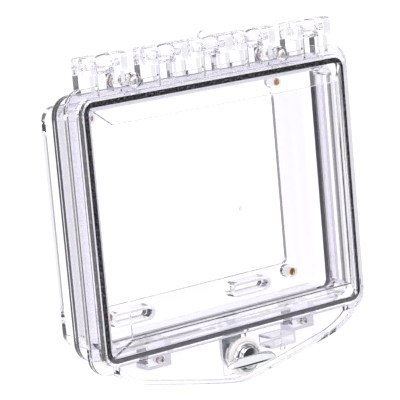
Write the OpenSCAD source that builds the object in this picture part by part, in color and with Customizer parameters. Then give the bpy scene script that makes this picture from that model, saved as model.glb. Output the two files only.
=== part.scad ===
// Clear wall-mounted lock box for a thermostat: a back box, a spacer frame and a
// front frame stand on the wall, and a gasketed cover with five top hinges closes
// them. A cam lock with a T-handle sits in the tab under the cover.
// Frame: X to the right, Z up, the front looks along -Y. The origin is the centre
// of the wall face. "Depth" below is the distance in front of the wall.

/* [Case] */
// Clear width between the side walls of the frames
case_w = 212; // [190:1:235]
// Clear height between the top and bottom walls of the frames
case_h = 163; // [150:1:185]
// Wall thickness of the frames and the back box
wall_t = 3; // [2.4:0.1:4]
// Inside corner radius of the frames
case_r = 6; // [4:0.5:9]

/* [Depths] */
// Depth of the back box, with its front flange
back_depth = 21.2; // [18:0.1:30]
// Depth of the spacer frame, with its rear flange
spacer_depth = 18.5; // [17:0.1:40]
// Thickness of the two flanges that join the spacer frame to the back box
rear_flange_t = 3; // [2:0.1:4]
// Thickness of the front frame's flange and tab
front_flange_t = 2.5; // [2:0.1:3.5]
// Height of the land that the gasket closes on, above the front flange
land_h = 3.5; // [2:0.1:6]
// Gap between the closed cover and the front frame
close_gap = 0.3; // [0.2:0.05:0.5]

/* [Flanges] */
// Reach of the front flange beyond the case opening
front_flange_reach = 16.5; // [15.5:0.1:22]
// Corner radius of the front flange and the cover flange
front_flange_r = 14; // [8:0.5:18]
// Overall width of the rear flanges
rear_flange_w = 236; // [232:1:260]
// Overall height of the rear flanges
rear_flange_h = 184; // [178:1:210]
// Corner radius of the rear flanges
rear_flange_r = 14; // [8:0.5:18]

/* [Back box] */
// Clear width inside the back box
back_w = 223; // [200:1:226]
// Clear height inside the back box
back_h = 162; // [150:1:170]
// Inside corner radius of the back box
back_r = 7; // [4:0.5:10]
// Width of the opening in the back plate
opening_w = 171; // [120:1:176]
// Height of the opening in the back plate
opening_h = 127; // [90:1:128]
// Height of the opening's middle above the middle of the case
opening_lift = 1.4; // [0:0.1:2]
// Corner radius of the opening in the back plate
opening_r = 4; // [2:0.5:12]
// Side distance between the threaded inserts in the back box
insert_pitch_x = 165; // [140:1:200]
// Upright distance between the threaded inserts in the back box
insert_pitch_z = 140; // [138:0.5:142]
// Height of the insert pattern's middle above the middle of the case
insert_lift = 2.7; // [2:0.1:3]
// Height of the insert bosses above the back plate
insert_boss_h = 9; // [8:0.5:14]
// Distance from the middle to the right wall screw slot
slot_right_x = 43.3; // [20:0.1:56]
// Distance from the middle to the left wall screw slot
slot_left_x = 62; // [20:0.1:62.5]
// Distance of the wall screw slots below the middle of the case
slot_low = 70.6; // [69.8:0.1:72]
// Length of a wall screw slot
slot_l = 31; // [12:0.5:31]
// Width of a wall screw slot
slot_w = 5.5; // [4:0.1:6.5]
// Width of the raised rim around a wall screw slot
slot_rim = 2.7; // [1.5:0.1:3]
// Height of the raised rim around a wall screw slot
slot_rim_h = 9; // [1:0.1:12]

/* [Cover] */
// Thickness of the cover's walls
cover_t = 2.5; // [2:0.1:3]
// Thickness of the wall around the gasket
rim_wall = 2.2; // [1.6:0.1:3]
// Distance from the case opening to the inner edge of the gasket
gasket_in = 4; // [3.5:0.1:5]
// Width of the gasket
gasket_w = 4; // [3:0.1:5]
// Thickness of the gasket
gasket_t = 4; // [3:0.1:6]
// Inside corner radius of the gasket
gasket_r = 4.5; // [3:0.5:8]
// Run of the bevel between the gasket and the flat window
bevel_run = 11.5; // [8:0.5:20]
// Rise of the window in front of the rim
window_rise = 8.5; // [5:0.1:14]
// Clearance between the land and the wall around the gasket
land_gap = 0.4; // [0.3:0.05:0.8]

/* [Lock tab] */
// Drop of the tab's lowest point below the flange
tab_drop = 28; // [26:0.5:36]
// Drop of the tab's slanted edge where it meets the bottom curve
tab_low_drop = 22.6; // [22.4:0.1:25]
// Half width of the tab's bottom curve
tab_low_x = 32; // [28:0.5:36]
// Drop of the tab's slanted edge at its outer end
tab_mid_drop = 12.5; // [12:0.1:16]
// Half width of the tab at the slanted edge's outer end
tab_mid_x = 79; // [78:0.5:86]
// Half width of the tab where it runs into the flange
tab_top_x = 106; // [98:0.5:108]
// Width of the window that the cam passes through
cam_window_w = 22; // [20.6:0.2:26]
// Height of the window that the cam passes through
cam_window_h = 30.6; // [30.2:0.2:32]
// Width of the hollow housing beside the lock
housing_w = 22; // [14:0.5:23]
// Depth of the hollow housing beside the lock
housing_depth = 15; // [6:0.5:16]
// Wall thickness of the hollow housing
housing_t = 2; // [1.2:0.1:3]
// Distance from the middle to the near side of the housing
housing_x = 35; // [24:0.5:36]

/* [Hinges] */
// Place of the inner pair of hinges, as a share of the way out to the outer pair
hinge_in_share = 0.4306; // [0.42:0.005:0.45]
// Distance from the flange's side edge to the middle of the outer hinge
hinge_end_in = 32.5; // [26.5:0.25:33.5]
// Width of one hinge, with both ears
hinge_w = 36.5; // [32:0.5:37]
// Width of the cover's arm and barrel
arm_w = 14; // [10:0.5:16]
// Side gap between the barrel and each ear
hinge_gap = 0.35; // [0.25:0.05:0.6]
// Height of the hinge line above the flange's top edge
hinge_rise = 14; // [12:0.5:18]
// Distance of the hinge line behind the front flange's face
hinge_back = 2.2; // [1.5:0.1:3]
// Outer radius of the barrels, and half the height of the ears' heads
knuckle_r = 6.75; // [5.5:0.05:8]
// Radius of the rounded corners of the ears' heads
ear_corner_r = 3; // [1:0.5:5]
// Radius of the hinge pins
pin_r = 2.5; // [1.5:0.05:3]
// Running clearance around the pins in the barrels
pin_clear = 0.05; // [0.03:0.01:0.1]
// Length of a hinge pin
pin_l = 28; // [22:0.5:30]
// Depth of the notch in the flange's edge between two ears
notch_depth = 5; // [1:0.5:5]
// Width of the stop tab behind the middle hinges
stop_w = 38; // [24:1:40]
// Height of the stop tab above the hinge line
stop_rise = 10; // [4:0.5:10]
// Thickness of the stop tab
stop_t = 2.6; // [1.5:0.1:4]

/* [Frame screws] */
// Distance of the frame screws outside the middle between two hinges
screw_off_mid = 0.6; // [-2.5:0.1:2.5]
// Distance of the top screws below the flange's top edge
screw_in_top = 0.6; // [0:0.1:1]
// Distance of the bottom screws above the flange's bottom edge
screw_in_low = 1; // [0:0.1:1]
// Radius of the screw shanks
screw_r = 1.6; // [1.2:0.05:2]
// Radius of the screw heads
head_r = 3; // [2.6:0.05:3.4]
// Height of the screw heads
head_h = 2.2; // [1.5:0.1:2.6]
// Length of the screws under the head
screw_l = 9; // [7:0.5:11]
// Radius of the brass inserts
insert_r = 2.75; // [2.4:0.05:3]
// Length of the brass inserts
insert_l = 7; // [5:0.5:8]
// Radius of the round bosses that hold the inserts
boss_r = 4.6; // [4:0.1:5.4]
// Width of the square blocks that hold the bottom inserts
block_w = 20; // [14:0.5:24]
// Depth of the bosses and blocks behind the front flange
boss_depth = 14; // [10:0.5:15]

/* [Lock] */
// Height of the lock's middle below the flange's bottom edge
lock_drop = 9.5; // [8.5:0.1:11]
// Radius of the nylon washer
washer_r = 13.8; // [12.5:0.1:14.5]
// Thickness of the nylon washer
washer_t = 2; // [1:0.1:3]
// Radius of the lock's chromed head
lock_head_r = 11.2; // [10.5:0.1:12]
// Height of the lock's chromed head
lock_head_h = 3; // [2.5:0.1:4]
// Radius of the dish in the lock's head
dish_r = 9.2; // [8.2:0.1:9.8]
// Depth of the dish in the lock's head
dish_depth = 1.6; // [0.8:0.1:2]
// Radius of the lock's threaded barrel
barrel_r = 8; // [7:0.1:9]
// Distance between the flats of the lock's nut
nut_flats = 22; // [19:0.5:23]
// Thickness of the lock's nut
nut_t = 4; // [3:0.1:4.5]
// Radius of the turning spindle
spindle_r = 5; // [4:0.1:6]
// Running clearance around the spindle
spindle_clear = 0.05; // [0.03:0.01:0.1]
// Radius of the handle's hub
hub_r = 7.5; // [6:0.1:8]
// Height of the handle's hub above the dish
hub_h = 4.6; // [3:0.1:7]
// Length of the T-handle's bar
bar_l = 42; // [32:0.5:50]
// Height of the T-handle's bar
bar_h = 8.6; // [6:0.1:11]
// Depth of the T-handle's bar
bar_depth = 6; // [4:0.1:8]
// Width of the cam
cam_w = 19; // [16:0.2:20]
// Reach of the cam above the lock's middle
cam_reach = 16.5; // [13:0.1:16.6]
// Thickness of the cam
cam_t = 3; // [2:0.1:3.4]
// Distance of the cam behind the front flange
cam_back = 0.9; // [0.5:0.1:1.2]
// Radius of the cam screw's head
cam_head_r = 4; // [3:0.1:4.8]
// Height of the cam screw's head
cam_head_h = 2.6; // [1.5:0.1:3]

/* [Hidden] */
$fn = 64;
eps = 0.01;
seat_clear = 0.02;      // radial gap of a piece that is pressed or threaded in place
clear_hole = 0.3;       // radial gap of a hole that a screw only passes through
round_n = 12;           // steps in each curve of the tab's outline

// Depths of the stack, from the wall outwards
frame_back = back_depth + spacer_depth;
frame_face = frame_back + front_flange_t;
land_face = frame_face + land_h;
cover_back = frame_face + close_gap;
gasket_back = land_face + close_gap;
rim_back = gasket_back + gasket_t;
rim_face = rim_back + cover_t;
window_face = rim_face + window_rise;

// Inside of the window's dome: the outside moved in by the cover's thickness
dome_slope = bevel_run / window_rise;
dome_in = cover_t * (sqrt(1 + dome_slope * dome_slope) - dome_slope);
dome_in_run = dome_slope * (window_rise + cover_t);
dome_grow = dome_slope * cover_t - dome_in;

// Half sizes and edges
flange_w = case_w + 2 * front_flange_reach;
flange_h = case_h + 2 * front_flange_reach;
edge_z = flange_h / 2;
gasket_in_w = case_w + 2 * gasket_in;
gasket_in_h = case_h + 2 * gasket_in;
gasket_out_w = gasket_in_w + 2 * gasket_w;
gasket_out_h = gasket_in_h + 2 * gasket_w;
gasket_out_r = gasket_r + gasket_w;
rim_w = gasket_out_w + 2 * rim_wall;
rim_h = gasket_out_h + 2 * rim_wall;
rim_r = gasket_out_r + rim_wall;

// Hinge line
hinge_z = edge_z + hinge_rise;
hinge_d = frame_face - hinge_back;
hinge_out_x = flange_w / 2 - hinge_end_in;
hinge_in_x = hinge_out_x * hinge_in_share;
hinge_xs = [-hinge_out_x, -hinge_in_x, 0, hinge_in_x, hinge_out_x];
ear_in = arm_w / 2 + hinge_gap;
ear_out = hinge_w / 2;
ear_back = hinge_d - knuckle_r;
pin_bore_r = pin_r + pin_clear;
stop_x = hinge_in_x / 2;

// Heights of the back box's inserts
insert_zs = [insert_lift - insert_pitch_z / 2, insert_lift + insert_pitch_z / 2];

// Screws
screw_x = (hinge_out_x + hinge_in_x) / 2 + screw_off_mid;
top_screw_z = edge_z - screw_in_top;
low_screw_z = -(edge_z - screw_in_low);
screw_tab_r = boss_r + 1.2;
screw_notch_r = head_r + 1.8;
insert_hole_r = insert_r + seat_clear;
insert_bore_r = screw_r + 0.05;
insert_front = frame_back - 0.5;
block_low_z = low_screw_z - boss_r - 1;

// Hollow housing beside the lock, under the bottom screw's block
housing_top = block_low_z - close_gap;
housing_low = -edge_z - tab_mid_drop - 1;

// Lock
lock_z = -(edge_z + lock_drop);
washer_front = rim_face + washer_t;
lock_face = washer_front + lock_head_h;
dish_floor = lock_face - dish_depth;
hub_back = dish_floor + 0.3;
hub_face = hub_back + hub_h;
bar_back = hub_face - 1.4;
bar_face = bar_back + bar_depth;
cam_front = frame_back - cam_back;
cam_rear = cam_front - cam_t;
barrel_back = cam_front + 0.4;
spindle_bore_r = spindle_r + spindle_clear;
cam_window_top = lock_z + cam_reach + 0.6;
screw_neck_r = 2;

// A flat shape drawn in X and Z, made solid from depth d0 to depth d1
module slab(d0, d1) {
    translate([0, -d0, 0]) rotate([90, 0, 0]) linear_extrude(height = d1 - d0) children();
}

// A round rod that stands out from the wall
module rod(x, z, r, d0, d1) {
    translate([x, -d0, z]) rotate([90, 0, 0]) cylinder(r = r, h = d1 - d0);
}

// A round rod along the hinge line's direction
module cross_rod(x0, x1, r, d, z) {
    translate([x0, -d, z]) rotate([0, 90, 0]) cylinder(r = r, h = x1 - x0);
}

// A square block between two corners
module block(x0, x1, d0, d1, z0, z1) {
    translate([x0, -d1, z0]) cube([x1 - x0, d1 - d0, z1 - z0]);
}

// A flat rectangle with round corners
module round_rect(w, h, r) {
    square([w - 2 * r, h], center = true);
    square([w, h - 2 * r], center = true);
    for (sx = [-1, 1], sz = [-1, 1])
        translate([sx * (w / 2 - r), sz * (h / 2 - r)]) circle(r = r);
}

// A flat ring between two rectangles with round corners
module round_ring(w, h, r, w_in, h_in, r_in) {
    difference() {
        round_rect(w, h, r);
        round_rect(w_in, h_in, r_in);
    }
}

// Points on a curve from a to c that leaves a and reaches c along the lines to b
function curve(a, b, c) = [for (i = [0 : round_n])
    let (t = i / round_n) a * (1 - t) * (1 - t) + b * 2 * t * (1 - t) + c * t * t];

// Outline of one half of the lock tab, raised by `up` for the hollow inside it
function tab_half(side, up, top) = let (
    slope = (tab_low_drop - tab_mid_drop) / (tab_mid_x - tab_low_x),
    low_ctrl = tab_low_x - (tab_drop - tab_low_drop) / slope,
    mid_ctrl = tab_mid_x + (tab_top_x - tab_mid_x) * 0.62,
    e = -edge_z + up) concat(
    [for (p = curve([0, e - tab_drop], [low_ctrl, e - tab_drop],
                    [tab_low_x, e - tab_low_drop])) [side * p[0], p[1]]],
    [for (p = curve([tab_mid_x - up, e - tab_mid_drop],
                    [mid_ctrl - up, e - tab_mid_drop + slope * (mid_ctrl - tab_mid_x)],
                    [tab_top_x - up, e + 1])) [side * p[0], p[1]]],
    [[side * (tab_top_x - up), top]]);

module tab_shape(up, top) {
    left = tab_half(-1, up, top);
    polygon(concat(tab_half(1, up, top),
                   [for (i = [len(left) - 1 : -1 : 1]) left[i]]));
}

// A flat-topped pyramid: w by h at depth d0, narrowing by `run` on each side to d1
module dome(w, h, run, d0, d1) {
    intersection() {
        translate([0, 0, -h]) linear_extrude(height = 2 * h)
            polygon([[-w / 2, -d0], [w / 2, -d0], [w / 2 - run, -d1], [run - w / 2, -d1]]);
        translate([-w, 0, 0]) rotate([90, 0, 90]) linear_extrude(height = 2 * w)
            polygon([[-d0, -h / 2], [-d0, h / 2], [-d1, h / 2 - run], [-d1, run - h / 2]]);
    }
}

// Back box: shallow box on the wall with a large opening in its back plate
module back_box() {
    color([0.86, 0.87, 0.93, 0.45]) difference() {
        union() {
            slab(0, back_depth)
                round_rect(back_w + 2 * wall_t, back_h + 2 * wall_t, back_r + wall_t);
            slab(back_depth - rear_flange_t, back_depth)
                round_rect(rear_flange_w, rear_flange_h, rear_flange_r);
        }
        difference() {
            slab(wall_t, back_depth + 1) round_rect(back_w, back_h, back_r);
            for (sx = [-1, 1], z = insert_zs)
                rod(sx * insert_pitch_x / 2, z, boss_r, wall_t - 1, wall_t + insert_boss_h);
            for (x = [-slot_left_x, slot_right_x])
                translate([x, 0, -slot_low]) slab(wall_t - 1, wall_t + slot_rim_h)
                    round_rect(slot_l + 2 * slot_rim, slot_w + 2 * slot_rim,
                               slot_w / 2 + slot_rim - eps);
        }
        translate([0, 0, opening_lift])
            slab(-1, wall_t + 1) round_rect(opening_w, opening_h, opening_r);
        for (sx = [-1, 1], z = insert_zs)
            rod(sx * insert_pitch_x / 2, z, insert_hole_r,
                wall_t + insert_boss_h - insert_l - 0.4, wall_t + insert_boss_h + 1);
        for (x = [-slot_left_x, slot_right_x])
            translate([x, 0, -slot_low]) slab(-1, wall_t + slot_rim_h + 1)
                round_rect(slot_l, slot_w, slot_w / 2 - eps);
    }
}

// Spacer frame: the walls between the back box and the front frame
module spacer_frame() {
    color([0.86, 0.87, 0.93, 0.45]) difference() {
        union() {
            slab(back_depth, frame_back)
                round_rect(case_w + 2 * wall_t, case_h + 2 * wall_t, case_r + wall_t);
            slab(back_depth, back_depth + rear_flange_t)
                round_rect(rear_flange_w, rear_flange_h, rear_flange_r);
            for (sx = [-1, 1]) {
                rod(sx * screw_x, top_screw_z, boss_r, frame_back - boss_depth, frame_back);
                block(sx * screw_x - wall_t / 2, sx * screw_x + wall_t / 2,
                      frame_back - boss_depth, frame_back, case_h / 2 + wall_t / 2, top_screw_z);
                block(sx * screw_x - block_w / 2, sx * screw_x + block_w / 2,
                      frame_back - boss_depth, frame_back,
                      block_low_z, -case_h / 2 - wall_t / 2);
            }
        }
        slab(back_depth - 1, frame_back + 1) round_rect(case_w, case_h, case_r);
        for (sx = [-1, 1], z = [low_screw_z, top_screw_z]) {
            rod(sx * screw_x, z, insert_hole_r, insert_front - insert_l - 0.4, frame_back + 1);
            rod(sx * screw_x, z, screw_r + clear_hole, frame_face - screw_l - 1, frame_back);
        }
    }
}

// One hinge ear: a head with rounded corners on a leg
module ear(x0, x1) {
    translate([x0, 0, 0]) rotate([90, 0, 90]) linear_extrude(height = x1 - x0)
        translate([-hinge_d, hinge_z]) round_rect(2 * knuckle_r, 2 * knuckle_r, ear_corner_r);
    block(x0, x1, ear_back, frame_face, edge_z - notch_depth, hinge_z);
}

// Front frame: flange, gasket land, hinge ears and the plate behind the lock tab
module front_frame() {
    color([0.84, 0.85, 0.95, 0.45]) difference() {
        union() {
            slab(frame_back, frame_face) {
                round_rect(flange_w, flange_h, front_flange_r);
                tab_shape(0, -edge_z + front_flange_reach / 2);
                for (sx = [-1, 1]) translate([sx * screw_x, top_screw_z]) circle(r = screw_tab_r);
            }
            slab(frame_back, land_face)
                round_rect(gasket_out_w - 2 * land_gap, gasket_out_h - 2 * land_gap,
                           gasket_out_r - land_gap);
            for (x = hinge_xs) {
                ear(x - ear_out, x - ear_in);
                ear(x + ear_in, x + ear_out);
            }
            translate([stop_x, 0, 0]) slab(ear_back - stop_t, ear_back) difference() {
                translate([0, hinge_z]) round_rect(stop_w, 2 * stop_rise, 5);
                translate([-stop_w, -edge_z]) square([2 * stop_w, 2 * edge_z]);
            }
            block(housing_x, housing_x + housing_w, frame_back - housing_depth, frame_face,
                  housing_low, housing_top);
        }
        slab(frame_back - 1, land_face + 1) round_rect(case_w, case_h, case_r);
        // notches that the cover's arms swing in
        for (x = hinge_xs)
            block(x - ear_in, x + ear_in, ear_back - 1, frame_face + 1,
                  edge_z - notch_depth, hinge_z - knuckle_r);
        for (x = hinge_xs)
            cross_rod(x - pin_l / 2, x + pin_l / 2, pin_r + seat_clear, hinge_d, hinge_z);
        for (sx = [-1, 1], z = [low_screw_z, top_screw_z])
            rod(sx * screw_x, z, screw_r + clear_hole, frame_back - 1, frame_face + 1);
        block(-cam_window_w / 2, cam_window_w / 2, frame_back - 1, frame_face + 1,
              cam_window_top - cam_window_h, cam_window_top);
        block(housing_x + housing_t, housing_x + housing_w - housing_t,
              frame_back - housing_depth - 1, frame_back,
              housing_low + housing_t, housing_top - housing_t);
    }
}

// Brass threaded insert, open through its middle
module insert(x, z, front) {
    color([0.72, 0.58, 0.3]) difference() {
        rod(x, z, insert_r, front - insert_l, front);
        rod(x, z, insert_bore_r, front - insert_l - 1, front + 1);
    }
}

module box_insert(sx, z) {
    insert(sx * insert_pitch_x / 2, z, wall_t + insert_boss_h);
}

module frame_insert(sx, z) {
    insert(sx * screw_x, z, insert_front);
}

// Pan head screw with a cross recess
module frame_screw(sx, z) {
    color([0.62, 0.63, 0.65]) difference() {
        union() {
            rod(sx * screw_x, z, screw_r, frame_face - screw_l, frame_face);
            rod(sx * screw_x, z, head_r, frame_face, frame_face + head_h * 0.6);
            rod(sx * screw_x, z, head_r * 0.82, frame_face, frame_face + head_h);
        }
        for (a = [0, 90])
            translate([sx * screw_x, 0, z]) rotate([0, a, 0])
                block(-head_r * 0.55, head_r * 0.55, frame_face + head_h * 0.35,
                      frame_face + head_h + 1, -head_r * 0.14, head_r * 0.14);
    }
}

// Hinge pin, held in the ears
module hinge_pin(x) {
    color([0.88, 0.88, 0.95, 0.5])
        cross_rod(x - pin_l / 2, x + pin_l / 2, pin_r, hinge_d, hinge_z);
}

// One hinge arm of the cover, from the flange up to the barrel
module arm(x) {
    cross_rod(x - arm_w / 2, x + arm_w / 2, knuckle_r, hinge_d, hinge_z);
    block(x - arm_w / 2, x + arm_w / 2, cover_back, hinge_d + knuckle_r,
          rim_h / 2 - rim_wall / 2, hinge_z);
}

// Cover: flange, rim, bevelled window, hinge arms and the hollow lock tab
module cover_shell() {
    color([0.87, 0.88, 0.95, 0.4]) difference() {
        union() {
            slab(cover_back, cover_back + cover_t)
                round_rect(flange_w, flange_h, front_flange_r);
            slab(cover_back, rim_face) round_rect(rim_w, rim_h, rim_r);
            dome(gasket_in_w, gasket_in_h, bevel_run, rim_face - eps, window_face);
            difference() {
                slab(cover_back, rim_face) tab_shape(0, -edge_z + front_flange_reach / 2);
                slab(cover_back - 1, rim_back) difference() {
                    tab_shape(rim_wall, -rim_h / 2);
                    translate([-flange_w, -rim_h / 2]) square([2 * flange_w, rim_h]);
                }
            }
            for (x = hinge_xs) arm(x);
        }
        // space behind the tab's front, clear of the flange that crosses it
        slab(cover_back - 1, rim_back) intersection() {
            tab_shape(rim_wall, -rim_h / 2);
            translate([-tab_top_x + 2 * rim_wall, -2 * edge_z])
                square([2 * tab_top_x - 4 * rim_wall, 2 * edge_z - rim_h / 2]);
        }
        slab(cover_back - 1, rim_back) round_rect(gasket_out_w, gasket_out_h, gasket_out_r);
        // inside of the dome
        dome(gasket_in_w + 2 * dome_grow, gasket_in_h + 2 * dome_grow, dome_in_run,
             rim_back - cover_t, window_face - cover_t);
        for (x = hinge_xs)
            cross_rod(x - arm_w, x + arm_w, pin_bore_r, hinge_d, hinge_z);
        for (sx = [-1, 1]) rod(sx * screw_x, top_screw_z, screw_notch_r,
                               cover_back - 1, cover_back + cover_t + 1);
        rod(0, lock_z, barrel_r + seat_clear, rim_back - 1, rim_face + 1);
    }
}

// Foam gasket in the cover's channel
module cover_gasket() {
    color([0.12, 0.12, 0.13]) slab(gasket_back, rim_back)
        round_ring(gasket_out_w, gasket_out_h, gasket_out_r,
                   gasket_in_w, gasket_in_h, gasket_r);
}

// Nylon washer under the lock's head
module lock_washer() {
    color([0.9, 0.88, 0.82]) difference() {
        rod(0, lock_z, washer_r, rim_face, washer_front);
        rod(0, lock_z, barrel_r + seat_clear, rim_face - 1, washer_front + 1);
    }
}

// Lock body: dished head and threaded barrel
module lock_body() {
    color([0.8, 0.81, 0.83]) difference() {
        union() {
            rod(0, lock_z, lock_head_r, washer_front, lock_face);
            rod(0, lock_z, barrel_r, barrel_back, washer_front);
        }
        rod(0, lock_z, dish_r, dish_floor, lock_face + 1);
        rod(0, lock_z, spindle_bore_r, barrel_back - 1, lock_face);
    }
}

// Hexagonal nut behind the tab's front
module lock_nut() {
    color([0.7, 0.71, 0.72]) difference() {
        translate([0, -(rim_back - nut_t), lock_z]) rotate([90, 0, 0])
            cylinder(r = nut_flats / sqrt(3), h = nut_t, $fn = 6);
        rod(0, lock_z, barrel_r + seat_clear, rim_back - nut_t - 1, rim_back + 1);
    }
}

// Turning spindle through the lock body, from the handle to the cam
module lock_spindle() {
    color([0.66, 0.67, 0.69]) difference() {
        rod(0, lock_z, spindle_r, cam_front, hub_back);
        rod(0, lock_z, screw_neck_r + seat_clear, cam_front - 1, cam_front + 6.4);
    }
}

// T-handle: round hub with a bar across it, its ends narrowed
module lock_handle() {
    color([0.82, 0.83, 0.86]) union() {
        rod(0, lock_z, hub_r, hub_back, hub_face);
        translate([0, 0, lock_z]) intersection() {
            slab(bar_back, bar_face)
                polygon([[-bar_l / 2, -bar_h * 0.28], [-hub_r, -bar_h / 2], [hub_r, -bar_h / 2],
                         [bar_l / 2, -bar_h * 0.28], [bar_l / 2, bar_h * 0.28],
                         [hub_r, bar_h / 2], [-hub_r, bar_h / 2], [-bar_l / 2, bar_h * 0.28]]);
            translate([-bar_l, 0, 0]) rotate([90, 0, 90]) linear_extrude(height = 2 * bar_l)
                polygon([[-bar_back, -bar_h / 2], [-bar_back, bar_h / 2],
                         [-(bar_face - 2), bar_h / 2], [-bar_face, bar_h * 0.28],
                         [-bar_face, -bar_h * 0.28], [-(bar_face - 2), -bar_h / 2]]);
        }
    }
}

// Cam plate: round at its foot, square at its tip
module lock_cam() {
    color([0.55, 0.57, 0.58]) difference() {
        translate([0, 0, lock_z]) slab(cam_rear, cam_front) {
            circle(r = cam_w / 2);
            translate([-cam_w / 2, 0]) square([cam_w, cam_reach]);
        }
        rod(0, lock_z, screw_neck_r + seat_clear, cam_rear - 1, cam_front + 1);
    }
}

// Screw that holds the cam on the spindle
module cam_screw() {
    color([0.75, 0.75, 0.72]) difference() {
        union() {
            rod(0, lock_z, cam_head_r, cam_rear - cam_head_h, cam_rear);
            rod(0, lock_z, screw_neck_r, cam_rear, cam_front + 6);
        }
        block(-cam_head_r - 1, cam_head_r + 1, cam_rear - cam_head_h - 1,
              cam_rear - cam_head_h * 0.6, lock_z - 0.5, lock_z + 0.5);
    }
}

back_box();
spacer_frame();
front_frame();
box_insert(-1, insert_zs[1]);  // box_insert_tl
box_insert(1, insert_zs[1]);  // box_insert_tr
box_insert(-1, insert_zs[0]);  // box_insert_bl
box_insert(1, insert_zs[0]);  // box_insert_br
frame_insert(-1, top_screw_z);  // frame_insert_tl
frame_insert(1, top_screw_z);  // frame_insert_tr
frame_insert(-1, low_screw_z);  // frame_insert_bl
frame_insert(1, low_screw_z);  // frame_insert_br
frame_screw(-1, top_screw_z);  // frame_screw_tl
frame_screw(1, top_screw_z);  // frame_screw_tr
frame_screw(-1, low_screw_z);  // frame_screw_bl
frame_screw(1, low_screw_z);  // frame_screw_br
hinge_pin(hinge_xs[0]);  // hinge_pin_1
hinge_pin(hinge_xs[1]);  // hinge_pin_2
hinge_pin(hinge_xs[2]);  // hinge_pin_3
hinge_pin(hinge_xs[3]);  // hinge_pin_4
hinge_pin(hinge_xs[4]);  // hinge_pin_5
cover_shell();
cover_gasket();
lock_washer();
lock_body();
lock_nut();
lock_spindle();
lock_handle();
lock_cam();
cam_screw();
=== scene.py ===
# %% [markdown]
# # Thermostat lock box
# This is a clear plastic box that covers a thermostat on a wall, with a cam lock under its
# cover. The frame loaded here is the part as it was constructed: every body, pin and screw in
# its right place, in metres, with +X to the right, -Y towards the room and +Z up. All places in
# this lesson are written in millimetres as (x, depth, z), where the depth is counted forward
# from the wall, because that is how a drawing of such a box is dimensioned.

# %% Load the frame
import math
import bpy
from mathutils import Matrix, Vector


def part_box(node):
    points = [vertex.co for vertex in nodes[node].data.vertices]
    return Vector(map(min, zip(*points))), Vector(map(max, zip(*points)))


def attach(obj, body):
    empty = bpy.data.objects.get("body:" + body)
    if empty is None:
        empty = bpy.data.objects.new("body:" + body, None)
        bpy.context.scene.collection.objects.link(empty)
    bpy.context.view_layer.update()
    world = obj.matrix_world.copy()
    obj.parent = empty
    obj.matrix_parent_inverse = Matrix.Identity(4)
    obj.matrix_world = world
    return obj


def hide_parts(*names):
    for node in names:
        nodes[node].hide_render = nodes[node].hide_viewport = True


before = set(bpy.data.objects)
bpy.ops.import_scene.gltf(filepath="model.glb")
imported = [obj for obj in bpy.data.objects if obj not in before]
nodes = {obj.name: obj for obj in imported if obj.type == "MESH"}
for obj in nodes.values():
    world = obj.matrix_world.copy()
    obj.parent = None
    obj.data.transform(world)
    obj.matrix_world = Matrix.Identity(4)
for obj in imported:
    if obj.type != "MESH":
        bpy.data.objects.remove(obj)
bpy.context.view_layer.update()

# %% [markdown]
# ## Camera
# The photographer stood to the left of the box and a little above it, about a metre and a half
# away, with a long lens that keeps the edges nearly parallel. The picture is also rolled a few
# degrees. The three axes of the camera are worked out from those angles, because a direction
# given in degrees is easier to correct than a matrix of numbers.

# %% Camera
AZIMUTH, ELEVATION, ROLL = (math.radians(v) for v in (-36.9, 10.1, -5.1))
DISTANCE, FOCAL_PX, IMAGE_PX, SENSOR = 1.58, 2294, 400, 36
LOOK_AT = Vector((-0.024, -0.050, 0.0086))

backward = Vector((math.sin(AZIMUTH) * math.cos(ELEVATION),
                   -math.cos(AZIMUTH) * math.cos(ELEVATION), math.sin(ELEVATION)))
level = Vector((math.cos(AZIMUTH), math.sin(AZIMUTH), 0))
upright = backward.cross(level)
right = level * math.cos(ROLL) + upright * math.sin(ROLL)
up = upright * math.cos(ROLL) - level * math.sin(ROLL)
bpy.ops.object.camera_add(location=LOOK_AT + backward * DISTANCE)
camera = bpy.context.object
camera.name = "photo_camera"
camera.matrix_world = Matrix.Translation(LOOK_AT + backward * DISTANCE) @ Matrix(
    (right, up, backward)).transposed().to_4x4()
camera.data.sensor_width = SENSOR
camera.data.lens = SENSOR * FOCAL_PX / IMAGE_PX
camera.data.clip_end = 200
bpy.context.scene.camera = camera
print("camera at", [round(v, 3) for v in camera.location], "lens", round(camera.data.lens, 1))

# %% [markdown]
# ## Building materials from nodes
# A material is a small network of nodes. Three helpers keep the cells below short: one turns a
# written colour into the numbers that the renderer works with, one adds a node and connects it,
# and one starts an empty material.

# %% Helpers for materials
def linear(hex_colour):
    """An sRGB hex colour as linear red, green, blue and alpha."""
    parts = [int(hex_colour[i:i + 2], 16) / 255 for i in (1, 3, 5)]
    return [v / 12.92 if v <= 0.04045 else ((v + 0.055) / 1.055) ** 2.4 for v in parts] + [1]


def add(tree, kind, inputs=(), **settings):
    """Adds a node. inputs maps a socket to a value, or to the output socket that feeds it."""
    node = tree.nodes.new(kind)
    for name, value in settings.items():
        setattr(node, name, value)
    for name, value in dict(inputs).items():
        if isinstance(value, bpy.types.NodeSocket):
            tree.links.new(value, node.inputs[name])
        else:
            node.inputs[name].default_value = value
    return node


def new_material(name):
    """An empty material, its node tree and its output node."""
    material = bpy.data.materials.new(name)
    material.use_nodes = True
    material.node_tree.nodes.clear()
    return material, material.node_tree, material.node_tree.nodes.new("ShaderNodeOutputMaterial")


print("chrome's own colour in linear numbers:", [round(v, 3) for v in linear("#DEDFE1")])

# %% [markdown]
# ## Light paths
# Light goes through four clear shells, one behind another, and runs inside their walls from
# face to face before it comes out. Each face counts as one bounce, so the usual limits would
# end many of these paths in black. They are raised until the edges stop getting lighter.

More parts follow.
